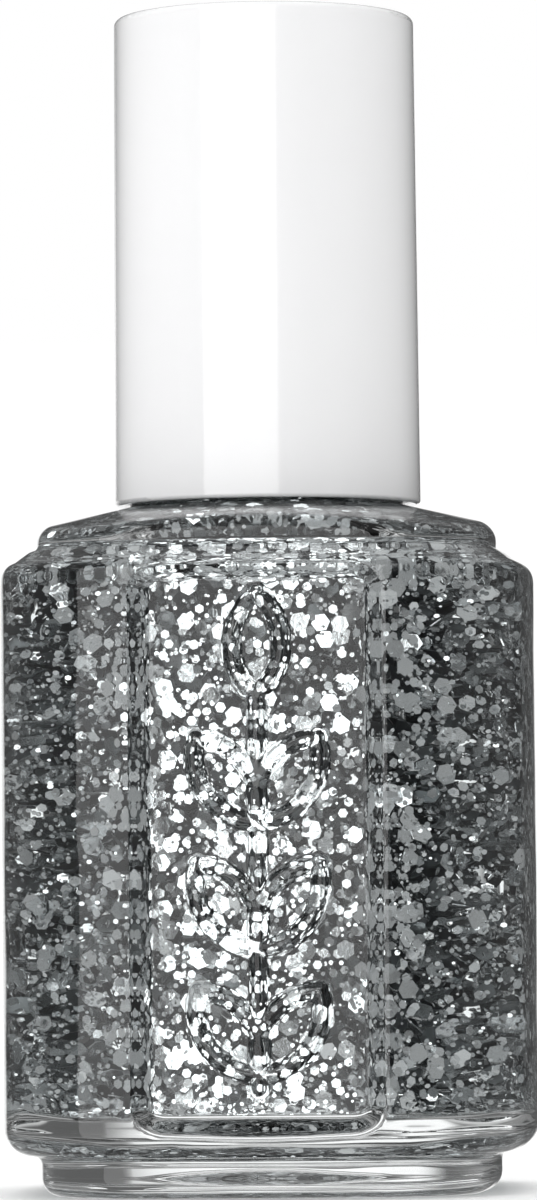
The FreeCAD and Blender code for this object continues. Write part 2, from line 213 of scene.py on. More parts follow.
def sink_panel(points):
    """Presses the panel and its sprig into the front and the back of a body ring."""
    x, y, z = points.T
    facing = np.where(y < 0, -1.0, 1.0)
    depth = np.abs(y)
    outside_x = np.abs(x) - (PANEL_HALF - PANEL_CORNER)
    middle_z = (PANEL_LOW_Z + PANEL_HIGH_Z) / 2
    steeper = PANEL_BEVEL / PANEL_END_BEVEL
    outside_z = (np.abs(z - middle_z) - (PANEL_HIGH_Z - PANEL_LOW_Z) / 2) * steeper + PANEL_CORNER
    away = np.hypot(np.clip(outside_x, 0, None), np.clip(outside_z, 0, None)) - PANEL_CORNER
    rise = PANEL_DEPTH / PANEL_BEVEL * smooth_max(away, np.zeros_like(away), PANEL_FOOT_BLEND)
    floor = BODY_HALF - PANEL_DEPTH + rise
    sunk = -smooth_max(-depth, -floor, PANEL_RIM_BLEND)
    near = (np.abs(x) < BODY_HALF * 0.62) & (away < PANEL_BEVEL + PANEL_REACH)
    depth = np.where(near, np.minimum(sunk, depth), depth)
    sign = -facing                      # the back's sprig is turned round with the bottle
    relief = np.where(near & (away < -0.2), sprig_relief(x * sign, z), 0.0)
    return np.column_stack([x, facing * (depth + relief), z])


# ==== glass bottle ===================================================================

def foot_rings():
    """From the centre of the underside to the bottom of the body."""
    sphere = (PUSH_UP_RADIUS ** 2 + PUSH_UP_DEPTH ** 2) / (2 * PUSH_UP_DEPTH)
    rings = []
    for radius in np.linspace(0.6, PUSH_UP_RADIUS, 16):
        rings.append(ring(circle(radius), PUSH_UP_DEPTH - sphere + math.sqrt(sphere ** 2 - radius ** 2)))
    rings.append(ring(circle(PUSH_UP_RADIUS + 0.25), 0.0))
    inset = TIER_HALF - BASE_ROUND
    rings.append(ring((circle(PUSH_UP_RADIUS + 0.25) + body_loop(inset)) / 2, 0.0))
    rings.append(ring(body_loop(inset - 0.15), 0.0))
    for half, z in quarter_round(inset, 0.0, TIER_HALF, BASE_ROUND, 7, True):
        rings.append(ring(body_loop(half), z))
    rings.append(ring(body_loop(TIER_HALF), 1.2))
    for half, z in quarter_round(TIER_HALF, 1.8, TIER_HALF + 0.6, BODY_BOTTOM_Z, 5, False):
        rings.append(ring(body_loop(half), z))
    return rings


def body_rings():
    """The body's foot, wall, panels, shoulder rounding and slope."""
    rings = []
    low_round = BODY_HALF - BODY_BOTTOM_ROUND
    for half, z in quarter_round(low_round, BODY_BOTTOM_Z, BODY_HALF,
                                 BODY_BOTTOM_Z + BODY_BOTTOM_ROUND, 9, True):
        rings.append(ring(body_loop(half), z))
    high = BODY_SLOPE_Z - 0.7
    low = BODY_BOTTOM_Z + BODY_BOTTOM_ROUND
    for z in np.linspace(low, high, int((high - low) / PANEL_STEP))[1:]:
        rings.append(ring(BODY_LOOP, z))
    end_half, end_z = BODY_HALF - 0.75, BODY_SLOPE_Z + 0.42
    for t in np.linspace(0, 1, 9)[1:]:
        half = BODY_HALF - (BODY_HALF - end_half) * t * t
        z = high + (end_z - high) * (t * (1.6 - 0.6 * t))
        rings.append(ring(body_loop(half), z))
    for t in (0.35, 0.7, 0.93):
        rings.append(ring(body_loop(end_half + (SLOPE_HALF - end_half) * t),
                          end_z + (BODY_TOP_Z - end_z) * t))
    return [sink_panel(points) for points in rings]


def dome_z(radius):
    return DOME_NECK_Z - (radius - DOME_NECK_RADIUS) * DOME_SLOPE


def shoulder_rings():
    """The step up to the top tier, its rounded rim and the dome to the neck."""
    rings = [ring(body_loop(SLOPE_HALF - 0.12), BODY_TOP_Z + 0.02),
             ring(body_loop(TIER_HALF + 0.16), BODY_TOP_Z + 0.1),
             ring(body_loop(TIER_HALF + 0.03), BODY_TOP_Z + 0.26)]
    rim = body_loop(TIER_HALF)
    radius = np.hypot(*rim.T)
    rim_z = dome_z(radius)
    foot_z = BODY_TOP_Z + 0.4
    neck = circle(DOME_NECK_RADIUS)
    wall_top = np.maximum(rim_z - TOP_TIER_ROUND, foot_z + 0.02)
    for t in (0.0, 0.5, 1.0):
        rings.append(ring(rim, foot_z + (wall_top - foot_z) * t))
    inward = (neck - rim) / np.linalg.norm(neck - rim, axis=1, keepdims=True)
    for t in np.linspace(0, math.pi / 2, 9)[1:]:
        loop = rim + inward * TOP_TIER_ROUND * (1 - math.cos(t))
        top = dome_z(np.hypot(*loop.T))
        rings.append(ring(loop, wall_top + (top - wall_top) * math.sin(t)))
    start = rings[-1][:, :2]
    for t in np.linspace(0, 1, 11)[1:]:
        loop = start + (neck - start) * t
        rings.append(ring(loop, dome_z(np.hypot(*loop.T))))
    return rings


def neck_rings():
    """The bead, the threaded wall and the lip."""
    rings = [ring(circle(NECK_BEAD_RADIUS + 0.2), DOME_NECK_Z + 0.05),
             ring(circle(NECK_BEAD_RADIUS), DOME_NECK_Z + 0.25)]
    for radius, z in quarter_round(NECK_BEAD_RADIUS, NECK_BEAD_HIGH_Z - 0.35,
                                   NECK_BEAD_RADIUS - 0.35, NECK_BEAD_HIGH_Z, 5, False):
        rings.append(ring(circle(radius), z))
    rings.append(ring(circle(NECK_RADIUS + 0.12), NECK_BEAD_HIGH_Z + 0.03))
    top = NECK_LIP_Z - NECK_LIP_ROUND
    for z in np.arange(NECK_BEAD_HIGH_Z + 0.15, top, 0.11):
        rings.append(ring(circle(NECK_RADIUS + thread_height(z)), z))
    for radius, z in quarter_round(NECK_RADIUS, top, NECK_RADIUS - NECK_LIP_ROUND, NECK_LIP_Z, 6, False):
        rings.append(ring(circle(radius), z))
    rings.append(ring(circle(NECK_BORE + 0.45), NECK_LIP_Z))
    for radius, z in quarter_round(NECK_BORE + 0.3, NECK_LIP_Z, NECK_BORE, NECK_LIP_Z - 0.3, 4, True):
        rings.append(ring(circle(radius), z))
    return rings


def thread_height(z):
    """Height of the helical ridge round the neck at height z, tapered at both ends."""
    turns = (LOOP_ANGLE % (2 * math.pi)) / (2 * math.pi)
    height = np.zeros(len(LOOP_ANGLE))
    for lap in range(int(THREAD_TURNS)):
        centre = THREAD_LOW_Z + THREAD_PITCH * (turns + lap)
        position = (turns + lap) / THREAD_TURNS
        taper = np.clip(np.minimum(position, 1 - position) * 14, 0, 1)
        away = np.abs(z - centre) / THREAD_HALF_WIDTH
        lift = np.clip((1 - away) * 1.9, 0, 1)
        height = np.maximum(height, THREAD_DEPTH * 0.97 * taper * lift * lift * (3 - 2 * lift))
    return height


def cavity_rings(grow=0.0, top_z=None):
    """The inside wall from the bore down to the floor, or up to a liquid level."""
    rings = []
    start = NECK_LIP_Z - 0.5 if top_z is None else top_z
    for z in np.linspace(start, FUNNEL_HIGH_Z + 0.2, 10 if top_z is None else 3):
        rings.append(ring(circle(NECK_BORE + grow), z))
    for t in np.linspace(0, 1, 12):
        radius = NECK_BORE + (FUNNEL_RADIUS - NECK_BORE) * t
        z = FUNNEL_HIGH_Z - (FUNNEL_HIGH_Z - CAVITY_ROOF_Z) * t
        rings.append(ring(circle(radius + grow), z + grow))
    start_loop = rings[-1][:, :2]
    roof_half = CAVITY_HALF - CAVITY_ROOF_ROUND
    rings.append(ring((start_loop + inner_loop(roof_half + grow)) / 2, CAVITY_ROOF_Z + grow))
    high = CAVITY_ROOF_Z - CAVITY_ROOF_ROUND
    for half, z in quarter_round(roof_half, CAVITY_ROOF_Z, CAVITY_HALF, high, 10, True):
        rings.append(ring(inner_loop(half + grow), z + grow * (z - high) / CAVITY_ROOF_ROUND))
    floor_half = CAVITY_HALF - CAVITY_FLOOR_ROUND
    low = CAVITY_FLOOR_Z + CAVITY_FLOOR_ROUND
    for z in np.linspace(high, low, 24)[1:-1]:
        rings.append(ring(inner_loop(CAVITY_HALF + grow), z))
    for half, z in quarter_round(CAVITY_HALF, low, floor_half, CAVITY_FLOOR_Z, 10, False):
        rings.append(ring(inner_loop(half + grow), z - grow * (low - z) / CAVITY_FLOOR_ROUND))
    floor_loop = rings[-1][:, :2]
    for t in (0.7, 0.35, 0.08):
        rings.append(ring(floor_loop * t, CAVITY_FLOOR_Z - grow))
    return rings


def glass_bottle(glass, wetted):
    outside = foot_rings() + body_rings() + shoulder_rings() + neck_rings()
    inside = cavity_rings()
    first_wet = len(outside) + next(i for i, r in enumerate(inside) if r[0, 2] < FILL_LEVEL_Z)
    piece = stack_mesh("bottle_glass", outside + inside, (glass, wetted),
                       lambda i: 1 if i >= first_wet - 1 else 0)
    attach(piece, "bottle")
    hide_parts("glass_bottle")


def lacquer(wall, surface):
    """The clear lacquer: its wall lies just inside the glass, and its top climbs at the edge."""
    rings = cavity_rings(grow=-0.012, top_z=FILL_LEVEL_Z)[::-1]
    for radius, z in ((3.9, -0.22), (3.4, -0.36), (2.4, -0.42), (1.0, -0.42)):
        rings.append(ring(circle(radius), FILL_LEVEL_Z + z))
    wall_rings = len(rings) - 5
    piece = stack_mesh("lacquer", rings, (wall, surface), lambda i: 0 if i < wall_rings else 1)
    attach(piece, "bottle")
    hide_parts("polish_fill")


# ==== glitter =========================================================================

GLASS_GAP = 0.06            # between the flakes and the glass
BRUSH_CHANNEL = 2.1         # radius kept free of flakes for the brush
FLAKE_SPREAD = 0.07         # how much the flakes of one cut differ in size
PANEL_ZONE = PANEL_HALF + PANEL_BEVEL + 0.65        # how far sideways the flakes count as behind a panel


def wall_inset(z):
    """How far the cavity's wall is drawn in near the floor and the roof."""
    low = np.clip(CAVITY_FLOOR_Z + CAVITY_FLOOR_ROUND - z, 0, CAVITY_FLOOR_ROUND)
    high = np.clip(z - (CAVITY_ROOF_Z - CAVITY_ROOF_ROUND), 0, CAVITY_ROOF_ROUND)
    return (CAVITY_FLOOR_ROUND - np.sqrt(CAVITY_FLOOR_ROUND ** 2 - low ** 2)
            + CAVITY_ROOF_ROUND - np.sqrt(CAVITY_ROOF_ROUND ** 2 - high ** 2))


def wall_places(count, deepest, share, low_z=CAVITY_FLOOR_Z + 0.3, high_z=CAVITY_ROOF_Z - 0.3, lean=0.0):
    """Places near the walls, behind the panels or beside them, with the wall's outward direction."""
    loop = inner_loop(CAVITY_HALF)
    ahead = np.roll(loop, -1, axis=0)
    step = np.linalg.norm(ahead - loop, axis=1)
    behind_panel, beside = share
    chance = step * np.where(np.abs(loop[:, 0]) < PANEL_ZONE, behind_panel, beside)
    at = rng.choice(len(loop), count, p=chance / chance.sum())
    mix = rng.random((count, 1))
    spot = loop[at] + (ahead[at] - loop[at]) * mix
    tangent = (ahead - loop)[at] / step[at][:, None]
    outward = np.column_stack([tangent[:, 1], -tangent[:, 0], np.full(count, lean)])
    z = rng.uniform(low_z, high_z, count)
    depth = deepest * rng.random(count) ** 1.6
    spot = spot - outward[:, :2] * (wall_inset(z) + depth)[:, None]
    return np.column_stack([spot, z]), outward


def floor_places(count):
    loop_half = CAVITY_HALF - CAVITY_FLOOR_ROUND
    spot = rng.uniform(-loop_half, loop_half, (count, 2))
    high = rng.random(count) < 0.5
    offset = 0.25 + 1.4 * rng.random(count) ** 1.5
    z = np.where(high, CAVITY_ROOF_Z - offset, CAVITY_FLOOR_Z + offset)
    outward = np.column_stack([np.zeros((count, 2)), np.where(high, 1.0, -1.0)])
    return np.column_stack([spot, z]), outward


# Places deep in the cavity, for the dark flakes whose colour is painted shade for the light lost in the
# lacquer.
def deep_places(count):
    half = CAVITY_HALF - 1.6
    spot = rng.uniform(-half, half, (count, 2))
    z = rng.uniform(CAVITY_FLOOR_Z + 0.6, CAVITY_ROOF_Z - 0.8, count)
    pull = np.minimum(1.0, (half - wall_inset(z)) / half)
    corner = np.clip(np.abs(spot).sum(axis=1) / (1.62 * half), 1.0, None)
    spot = spot * (pull / corner)[:, None]
    outward = rng.normal(size=(count, 3))
    return np.column_stack([spot, z]), outward


def funnel_places(count):
    z = rng.uniform(CAVITY_ROOF_Z - 0.6, FILL_LEVEL_Z - 0.8, count)
    share = np.clip((z - CAVITY_ROOF_Z) / (FUNNEL_HIGH_Z - CAVITY_ROOF_Z), 0, 1)
    limit = FUNNEL_RADIUS + (NECK_BORE - FUNNEL_RADIUS) * share
    angle = rng.uniform(0, 2 * math.pi, count)
    radius = limit - 0.4 - 1.2 * rng.random(count) ** 1.5
    across = np.column_stack([np.cos(angle), np.sin(angle)])
    outward = np.column_stack([across, np.full(count, 1.0)])
    return np.column_stack([across * radius[:, None], z]), outward


def flakes(name, size, places, material):
    """Thin hexagonal flakes, one closed prism each, each with a shade value from its group's range: a
    random tone, darkened as painted shade for the deep flakes and partly for those beside the panels.
    """
    spots = np.concatenate([spot for (spot, _), _, _ in places])
    outward = np.concatenate([direction for (_, direction), _, _ in places])
    tilt = np.concatenate([np.full(len(spot), lean) for (spot, _), lean, _ in places])
    shade = np.concatenate([rng.uniform(*shades, len(spot)) for (spot, _), _, shades in places])
    clear = np.hypot(spots[:, 0], spots[:, 1]) > BRUSH_CHANNEL + size / 2
    spots, outward, tilt, shade = spots[clear], outward[clear], tilt[clear], shade[clear]
    count = len(spots)
    normal = outward / np.linalg.norm(outward, axis=1, keepdims=True)
    normal = normal + rng.normal(size=(count, 3)) * tilt[:, None]
    normal /= np.linalg.norm(normal, axis=1, keepdims=True)
    helper = np.where(np.abs(normal[:, 2:]) > 0.9, [[1.0, 0, 0]], [[0, 0, 1.0]])
    right = np.cross(helper, normal)
    right /= np.linalg.norm(right, axis=1, keepdims=True)
    up = np.cross(normal, right)
    spin = rng.uniform(0, math.pi / 3, count)
    radius = size / 2 * rng.normal(1.0, FLAKE_SPREAD, count)
    thick = size * 0.022 + 0.006
    corners = []
    for side in (-1, 1):
        for k in range(6):
            angle = spin + k * math.pi / 3
            corners.append(spots + right * (radius * np.cos(angle))[:, None]
                           + up * (radius * np.sin(angle))[:, None] + normal * side * thick)
    points = np.stack(corners, axis=1)
    points = keep_in_cavity(points, spots).reshape(-1, 3)
    base = [(5, 4, 3, 2, 1, 0), (6, 7, 8, 9, 10, 11)]
    sides = [(k, (k + 1) % 6, (k + 1) % 6 + 6, k + 6) for k in range(6)]
    faces = []
    for i in range(count):
        shift = 12 * i
        faces += [tuple(shift + v for v in f) for f in base + sides]
    piece = new_piece(name, points * MM, faces, (material,), smooth=False)
    # The shade value: a random tone, with painted shade for the deep flakes and, in part, for those beside
    # the panels.
    own = piece.data.attributes.new("shade", "FLOAT", "FACE")
    own.data.foreach_set("value", np.repeat(shade, 8).astype(np.float32))
    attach(piece, "bottle")


def past_wall(x, y, z):
    """How far a place stands past the cavity's side wall."""
    inset = wall_inset(z)
    corner = CAVITY_CORNER - inset
    centre = CAVITY_FACE_RADIUS - CAVITY_HALF + inset
    k = (np.sqrt(2 * (CAVITY_FACE_RADIUS - corner) ** 2 - centre ** 2) - centre) / 2
    far, near = np.maximum(abs(x), abs(y)), np.minimum(abs(x), abs(y))
    in_corner = near * (k + centre) > k * (far + centre)
    return np.where(in_corner, np.hypot(far - k, near - k) - corner,
                    np.hypot(far + centre, near) - CAVITY_FACE_RADIUS)


def keep_in_cavity(points, spots):
    """Moves each flake in until all its corners are clear of the glass."""
    points = points.copy()
    inward = -spots[:, :2] / np.linalg.norm(spots[:, :2], axis=1, keepdims=True)
    for _ in range(3):
        x, y, z = np.moveaxis(points, 2, 0)
        share = np.clip((FUNNEL_RADIUS - np.hypot(x, y)) / (FUNNEL_RADIUS - NECK_BORE), 0, 1)
        roof = CAVITY_ROOF_Z + (FUNNEL_HIGH_Z - CAVITY_ROOF_Z) * share
        high = np.clip(z - roof + GLASS_GAP * 1.5, 0, None).max(axis=1)
        low = np.clip(CAVITY_FLOOR_Z + GLASS_GAP - z, 0, None).max(axis=1)
        points[:, :, 2] += (low - high)[:, None]
        x, y, z = np.moveaxis(points, 2, 0)
        over = np.clip(past_wall(x, y, np.clip(z, CAVITY_FLOOR_Z, CAVITY_ROOF_Z)) + GLASS_GAP, 0, None)
        over = np.where(z < CAVITY_ROOF_Z, over, 0.0).max(axis=1)
        points[:, :, :2] += inward[:, None, :] * over[:, None, None] * 1.1
    return points


# ==== brush ===========================================================================

BRISTLES, BRISTLE_THICK, BRISTLE_STATIONS = 170, 0.055, 7
SOCKET_RADIUS, STEM_LOW_Z, BRISTLE_TIP_Z, TUFT_RADIUS = 1.1, 17.0, 6.5, 1.7


def bristle_tuft(material):
    """Separate bristles: straight in the socket, spreading and closing to a soft tip."""
    golden = math.pi * (3 - math.sqrt(5))
    points, faces = [], []
    for i in range(BRISTLES):
        share = math.sqrt((i + 0.5) / BRISTLES)
        angle = i * golden
        length_cut = 1.9 * share ** 3 + 0.35 * rng.random()
        tip_z = BRISTLE_TIP_Z + 0.05 + length_cut
        wander = rng.normal(scale=0.06, size=2)
        first = len(points)
        for s in range(BRISTLE_STATIONS):
            t = s / (BRISTLE_STATIONS - 1)
            z = STEM_LOW_Z + 1.5 + (tip_z - STEM_LOW_Z - 1.5) * t
            spread = math.sin(min(t * 1.25, 1.0) * math.pi / 2)
            radius = (SOCKET_RADIUS - 0.08 + (TUFT_RADIUS - SOCKET_RADIUS) * spread) * share
            x = radius * math.cos(angle) + wander[0] * t * t
            y = radius * math.sin(angle) + wander[1] * t * t
            thick = BRISTLE_THICK * (1 - 0.55 * t ** 4)
            for k in range(6):
                a = k * math.pi / 3
                points.append((x + thick * math.cos(a), y + thick * math.sin(a), z))
        for s in range(BRISTLE_STATIONS - 1):
            a, b = first + 6 * s, first + 6 * (s + 1)
            faces += [(a + (k + 1) % 6, a + k, b + k, b + (k + 1) % 6) for k in range(6)]
        faces.append(tuple(first + k for k in range(6)))
        last = first + 6 * (BRISTLE_STATIONS - 1)
        faces.append(tuple(last + 5 - k for k in range(6)))
    piece = new_piece("bristles", np.array(points) * MM, faces, (material,))
    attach(piece, "cap")
    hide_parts("bristle_tuft")


# ==== materials =========================================================================

class Nodes:
    """A material's node tree, with short ways to add and join nodes."""

    def __init__(self, name):
        self.material = bpy.data.materials.new(name)
        self.material.use_nodes = True
        self.tree = self.material.node_tree
        self.tree.nodes.clear()
        self.output = self.add("ShaderNodeOutputMaterial")

    def add(self, kind, **values):
        node = self.tree.nodes.new(kind)
        for key, value in values.items():
            setattr(node, key, value)
        return node

    def join(self, source, out, target, into):
        self.tree.links.new(source.outputs[out], target.inputs[into])

    def shader(self, **sockets):
        node = self.add("ShaderNodeBsdfPrincipled")
        for key, value in sockets.items():
            node.inputs[key.replace("_", " ")].default_value = value
        return node

    def noise(self, scale, detail=3.0, roughness=0.5, stretch=None):
        place = self.add("ShaderNodeTexCoord")
        node = self.add("ShaderNodeTexNoise")
        node.inputs["Scale"].default_value = scale
        node.inputs["Detail"].default_value = detail
        node.inputs["Roughness"].default_value = roughness
        if stretch:
            mapping = self.add("ShaderNodeMapping")
            mapping.inputs["Scale"].default_value = stretch
            self.join(place, "Object", mapping, "Vector")
            self.join(mapping, "Vector", node, "Vector")
        else:
            self.join(place, "Object", node, "Vector")
        return node

    def ramp(self, source, out, stops):
        node = self.add("ShaderNodeValToRGB")
        while len(node.color_ramp.elements) < len(stops):
            node.color_ramp.elements.new(0.5)
        for element, (position, colour) in zip(node.color_ramp.elements, stops):
            element.position = position
            element.color = (*colour, 1.0)
        self.join(source, out, node, "Fac")
        return node

    def between(self, source, out, low, high):
        node = self.add("ShaderNodeMapRange")
        node.inputs["To Min"].default_value = low
        node.inputs["To Max"].default_value = high
        self.join(source, out, node, "Value")
        return node

    def bump(self, source, out, shader, strength, distance):
        node = self.add("ShaderNodeBump")
        node.inputs["Strength"].default_value = strength
        node.inputs["Distance"].default_value = distance
        self.join(source, out, node, "Height")
        self.join(node, "Normal", shader, "Normal")

    def finish(self, shader):
        self.join(shader, "BSDF", self.output, "Surface")
        return self.material


def let_lamps_through(nodes, shader):
    """Clear glass that doesn't block lamp light on its way to what is inside."""
    path = nodes.add("ShaderNodeLightPath")
    clear = nodes.add("ShaderNodeBsdfTransparent")
    clear.inputs["Color"].default_value = (0.93, 0.95, 0.95, 1)
    mix = nodes.add("ShaderNodeMixShader")
    nodes.join(path, "Is Shadow Ray", mix, "Fac")
    nodes.tree.links.new(shader.outputs["BSDF"], mix.inputs[1])
    nodes.tree.links.new(clear.outputs["BSDF"], mix.inputs[2])
    nodes.tree.links.new(mix.outputs["Shader"], nodes.output.inputs["Surface"])
    return nodes.material


def glass_material(name, ior):
    """Moulded glass: clear, with the faint waves and polish marks of its mould."""
    nodes = Nodes(name)
    shader = nodes.shader(Base_Color=(0.965, 0.985, 0.985, 1), Transmission_Weight=1.0, IOR=ior)
    polish = nodes.noise(900.0, 2.0)
    nodes.join(nodes.between(polish, "Fac", 0.0, 0.025), "Result", shader, "Roughness")
    waves = nodes.noise(140.0, 1.0, 0.4)
    nodes.bump(waves, "Fac", shader, 0.35, 0.0006)
    return let_lamps_through(nodes, shader)


def lacquer_wall_material():
    """Where the lacquer meets the glass nothing shows, so its wall is clear."""
    nodes = Nodes("lacquer_wall")
    clear = nodes.add("ShaderNodeBsdfTransparent")
    haze = nodes.noise(400.0, 2.0)
    tint = nodes.ramp(haze, "Fac", [(0.3, (0.985, 0.99, 0.992)), (0.7, (0.995, 0.997, 0.998))])
    nodes.join(tint, "Color", clear, "Color")
    return nodes.finish(clear)


def lacquer_surface_material():
    nodes = Nodes("lacquer_surface")
    shader = nodes.shader(Base_Color=(0.9, 0.92, 0.93, 1), Transmission_Weight=1.0, IOR=1.46)
    ripple = nodes.noise(500.0, 2.0)
    nodes.join(nodes.between(ripple, "Fac", 0.0, 0.06), "Result", shader, "Roughness")
    nodes.bump(ripple, "Fac", shader, 0.3, 0.0002)
    return let_lamps_through(nodes, shader)


def flake_material():
    """Metallised film with a fine crinkle: a flake's colour follows its shade value, whose dark end is
    painted shade for light lost in the lacquer.
    """
    nodes = Nodes("glitter_flake")
    shader = nodes.shader(Metallic=1.0)
    own = nodes.add("ShaderNodeAttribute", attribute_name="shade")
    # The lowest stops are painted shade: they darken the deep flakes for light lost in the lacquer, and the
    # dimmest flakes beside the panels.
    shades = [(0.0, (0.075, 0.085, 0.09)), (0.15, (0.2, 0.215, 0.22)), (0.3, (0.62, 0.64, 0.65)),
              (1.0, (0.95, 0.955, 0.96))]
    nodes.join(nodes.ramp(own, "Fac", shades), "Color", shader, "Base Color")
    nodes.join(nodes.between(own, "Fac", 0.30, 0.14), "Result", shader, "Roughness")
    crinkle = nodes.noise(4200.0, 2.0)
    nodes.bump(crinkle, "Fac", shader, 0.25, 0.00004)
    return nodes.finish(shader)


def plastic_material(name, light, dark, roughness, coat, grain):
    """Moulded plastic: faint flow in its colour, fine grain and a glossy skin."""
    nodes = Nodes(name)
    shader = nodes.shader(Coat_Weight=coat, Coat_Roughness=0.03, IOR=1.5)
    flow = nodes.noise(60.0, 4.0, 0.55, (1.0, 1.0, 0.25))
    nodes.join(nodes.ramp(flow, "Fac", [(0.3, dark), (0.7, light)]), "Color", shader, "Base Color")
    fine = nodes.noise(grain, 3.0)
    nodes.join(nodes.between(fine, "Fac", roughness * 0.8, roughness * 1.25), "Result", shader, "Roughness")
    nodes.bump(fine, "Fac", shader, 0.12, 0.00002)
    return nodes.finish(shader)


def foam_material():
    nodes = Nodes("liner_foam")
    shader = nodes.shader(Sheen_Weight=0.3)
    place = nodes.add("ShaderNodeTexCoord")
    cells = nodes.add("ShaderNodeTexVoronoi")
    cells.inputs["Scale"].default_value = 5200.0
    nodes.join(place, "Object", cells, "Vector")
    tones = nodes.ramp(cells, "Distance", [(0.0, (0.90, 0.90, 0.88)), (0.8, (0.74, 0.74, 0.72))])
    nodes.join(tones, "Color", shader, "Base Color")
    nodes.join(nodes.between(cells, "Distance", 0.75, 0.95), "Result", shader, "Roughness")
    nodes.bump(cells, "Distance", shader, 0.6, 0.00008)
    return nodes.finish(shader)


def film_material():
    nodes = Nodes("liner_film")
    shader = nodes.shader(IOR=1.49, Coat_Weight=0.4)
    haze = nodes.noise(700.0, 4.0)
    tones = nodes.ramp(haze, "Fac", [(0.3, (0.78, 0.80, 0.82)), (0.7, (0.88, 0.89, 0.90))])
    nodes.join(tones, "Color", shader, "Base Color")
    nodes.join(nodes.between(haze, "Fac", 0.12, 0.3), "Result", shader, "Roughness")
    nodes.bump(haze, "Fac", shader, 0.2, 0.00003)
    return nodes.finish(shader)


def metal_material(name, light, dark, roughness):
    nodes = Nodes(name)
    shader = nodes.shader(Metallic=1.0)
    wear = nodes.noise(1500.0, 5.0, 0.6)
    nodes.join(nodes.ramp(wear, "Fac", [(0.35, dark), (0.65, light)]), "Color", shader, "Base Color")
    nodes.join(nodes.between(wear, "Fac", roughness * 0.7, roughness * 1.4), "Result", shader, "Roughness")
    nodes.bump(wear, "Fac", shader, 0.2, 0.00002)
    return nodes.finish(shader)


def bristle_material():
    nodes = Nodes("nylon_bristle")
    shader = nodes.shader(IOR=1.53, Coat_Weight=0.3)
    along = nodes.noise(300.0, 3.0, 0.5, (6.0, 6.0, 0.6))
    tones = nodes.ramp(along, "Fac", [(0.3, (0.012, 0.012, 0.013)), (0.75, (0.06, 0.058, 0.056))])
    nodes.join(tones, "Color", shader, "Base Color")
    nodes.join(nodes.between(along, "Fac", 0.25, 0.45), "Result", shader, "Roughness")
    nodes.bump(along, "Fac", shader, 0.2, 0.00002)
    return nodes.finish(shader)


def finish_node(node, material):
    """Gives a carried-over CAD node its material."""
    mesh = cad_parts[node].data
    mesh.materials.clear()
    mesh.materials.append(material)
    mesh.polygons.foreach_set("material_index", np.zeros(len(mesh.polygons), dtype=np.int32))


# ==== studio ==============================================================================

def area_light(name, place, target, width, height, power):
    data = bpy.data.lights.new(name, "AREA")
    data.shape = "RECTANGLE"
    data.size, data.size_y = width, height
    data.energy = power
    lamp = bpy.data.objects.new(name, data)
    lamp.location = place
    lamp.rotation_euler = (Vector(target) - Vector(place)).to_track_quat("-Z", "Y").to_euler()
    bpy.context.scene.collection.objects.link(lamp)
    return lamp


CAMERA_DISTANCE, CAMERA_HEIGHT, CAMERA_TURN = 0.420, 0.0162, math.radians(3.0)
AIM_HEIGHT, CAMERA_ROLL, VIEW_HEIGHT = 0.0353, math.radians(-0.5), 0.0720
FLOOR_RADIUS, FLOOR_SIDES = 0.7, 96


def polar(turn_degrees, distance, height):
    """A place round the bottle, turned to the right of the camera by so many degrees."""
    angle = CAMERA_TURN + math.radians(turn_degrees)
    return (distance * math.sin(angle), -distance * math.cos(angle), height)


def camera():
    data = bpy.data.cameras.new("camera")
    data.sensor_fit = "AUTO"
    data.sensor_width = 36.0
    place = Vector(polar(0, CAMERA_DISTANCE, CAMERA_HEIGHT))
    aim = Vector((0, 0, AIM_HEIGHT))
    data.lens = data.sensor_width * (aim - place).length / VIEW_HEIGHT
    data.clip_start, data.clip_end = 0.01, 20
    view = bpy.data.objects.new("camera", data)
    turn = (aim - place).to_track_quat("-Z", "Y").to_matrix().to_4x4()
    view.matrix_world = Matrix.Translation(place) @ turn @ Matrix.Rotation(CAMERA_ROLL, 4, "Z")
    bpy.context.scene.collection.objects.link(view)
    bpy.context.scene.camera = view


def studio_floor():
    """A pale round floor, kept small round the bottle."""
    nodes = Nodes("studio_paper")
    shader = nodes.shader()
    tooth = nodes.noise(180.0, 5.0, 0.6)
    tones = nodes.ramp(tooth, "Fac", [(0.3, (0.88, 0.88, 0.88)), (0.7, (0.91, 0.91, 0.91))])
    nodes.join(tones, "Color", shader, "Base Color")
    nodes.join(nodes.between(tooth, "Fac", 0.55, 0.7), "Result", shader, "Roughness")
    angle = np.linspace(0, 2 * math.pi, FLOOR_SIDES, endpoint=False)
    points = np.column_stack([np.cos(angle), np.sin(angle), np.zeros(FLOOR_SIDES)]) * FLOOR_RADIUS
    piece = new_piece("studio_floor", points, [tuple(range(FLOOR_SIDES))], (nodes.finish(shader),))
    piece.visible_glossy = False
    piece.visible_transmission = False


# Each zone of the surroundings: where it starts and ends along its axis, and its level.
AMBIENT = 0.10
BEHIND_ZONE = (0.90, 0.97, 0.95)
BEHIND_RIGHT_EDGE = (0.10, 0.01, 1.0)
BEHIND_TOP_EDGE = (0.16, 0.07, 1.0)
LEFT_ZONE = (-0.35, -0.95, 0.22)
RIGHT_ZONE = (0.55, 0.95, 0.25)
BELOW_ZONE = (-0.04, -0.35, 0.45)
ABOVE_ZONE = (0.2, 0.6, 0.33)


